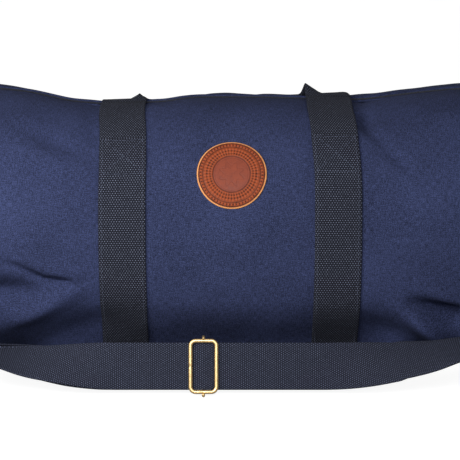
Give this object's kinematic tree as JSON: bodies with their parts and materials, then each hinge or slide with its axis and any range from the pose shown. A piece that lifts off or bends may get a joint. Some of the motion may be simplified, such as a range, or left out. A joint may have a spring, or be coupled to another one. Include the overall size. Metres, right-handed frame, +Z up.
{
  "type": "weekender bag",
  "caption": "Navy canvas weekender bag with a zip along the top, webbing carrying handles, a round leather patch and a shoulder strap on swivel hooks.",
  "frame": {"origin": "middle of the flat underside, on the ground", "axes": "+X along the bag from left to right, -Y out of the front that carries the patch, +Z up"},
  "size_m": [0.6114, 0.3897, 0.3107],
  "materials": {
    "canvas": "matte",
    "webbing": "matte",
    "strap_webbing": "matte",
    "tape": "matte",
    "coil": "satin",
    "leather": "satin",
    "brass": "polished"
  },
  "bodies": {
    "bag": {"front_panel": "canvas", "back_panel": "canvas", "base_panel": "canvas", "left_end_panel": "canvas", "right_end_panel": "canvas", "left_end_piping": "canvas", "right_end_piping": "canvas", "leather_patch": "leather", "front_strap_left": "webbing", "front_strap_right": "webbing", "back_strap_left": "webbing", "back_strap_right": "webbing", "back_handle_fold_left": "webbing", "back_handle_fold_right": "webbing", "zip_tape_front": "tape", "zip_tape_back": "tape", "zip_coil_front": "coil", "zip_coil_back": "coil", "zip_end_left": "tape", "zip_end_right": "tape", "left_ring_tab": "webbing", "right_ring_tab": "webbing"},
    "front_handle": {"front_handle": "webbing"},
    "back_handle": {"back_handle": "webbing"},
    "zip_slider": {"zip_slider": "brass"},
    "zip_pull": {"zip_pull": "brass"},
    "shoulder_strap": {"shoulder_strap": "strap_webbing", "shoulder_strap_return": "strap_webbing", "left_ring": "brass", "right_ring": "brass", "left_hook_eye": "brass", "right_hook_eye": "brass"},
    "left_hook": {"left_hook": "brass"},
    "right_hook": {"right_hook": "brass"},
    "left_gate": {"left_hook_gate": "brass"},
    "right_gate": {"right_hook_gate": "brass"},
    "adjuster": {"adjuster_frame": "brass", "adjuster_bar": "brass", "shoulder_strap_end_loop": "strap_webbing"}
  },
  "joints": [
    {"name": "front_handle_fold", "type": "hinge", "parent": "bag", "child": "front_handle", "pos_m": [0, -0.1052, 0.274], "axis": [1, 0, 0], "range_deg": [0, 90]},
    {"name": "back_handle_fold", "type": "hinge", "parent": "bag", "child": "back_handle", "pos_m": [0, 0.0925, 0.281], "axis": [1, 0, 0], "range_deg": [0, 150], "deforming": ["back_handle_fold_left", "back_handle_fold_right"]},
    {"name": "zip_slide", "type": "hinge", "parent": "bag", "child": "zip_slider", "pos_m": [0, 0, 3.6945], "axis": [0, 1, 0], "range_deg": [0, 8.8]},
    {"name": "zip_pull_swing", "type": "hinge", "parent": "zip_slider", "child": "zip_pull", "pos_m": [0.26379, 0, 0.30746], "axis": [0, -1, 0], "range_deg": [0, 174]},
    {"name": "shoulder_strap_swing", "type": "hinge", "parent": "bag", "child": "shoulder_strap", "pos_m": [0, 0, 0.24], "axis": [-1, 0, 0], "range_deg": [0, 250]},
    {"name": "left_hook_swivel", "type": "hinge", "parent": "shoulder_strap", "child": "left_hook", "pos_m": [-0.293, 0, 0.24], "axis": [0, -0.8191, -0.5736], "range_deg": [-30, 30]},
    {"name": "right_hook_swivel", "type": "hinge", "parent": "shoulder_strap", "child": "right_hook", "pos_m": [0.293, 0, 0.24], "axis": [0, -0.8191, -0.5736], "range_deg": [-30, 30]},
    {"name": "left_gate_hinge", "type": "hinge", "parent": "left_hook", "child": "left_gate", "pos_m": [-0.2985, -0.03154, 0.21792], "axis": [0, 0.5736, -0.8191], "range_deg": [0, 20], "stiffness_Nm_per_rad": 0.05, "springref_deg": -17.19},
    {"name": "right_gate_hinge", "type": "hinge", "parent": "right_hook", "child": "right_gate", "pos_m": [0.2985, -0.03154, 0.21792], "axis": [0, -0.5736, 0.8191], "range_deg": [0, 20], "stiffness_Nm_per_rad": 0.05, "springref_deg": -17.19},
    {"name": "adjuster_slide", "type": "slide", "parent": "shoulder_strap", "child": "adjuster", "axis": [1, 0, 0], "range_m": [-0.045, 0.085], "deforming": ["shoulder_strap_return"]}
  ]
}
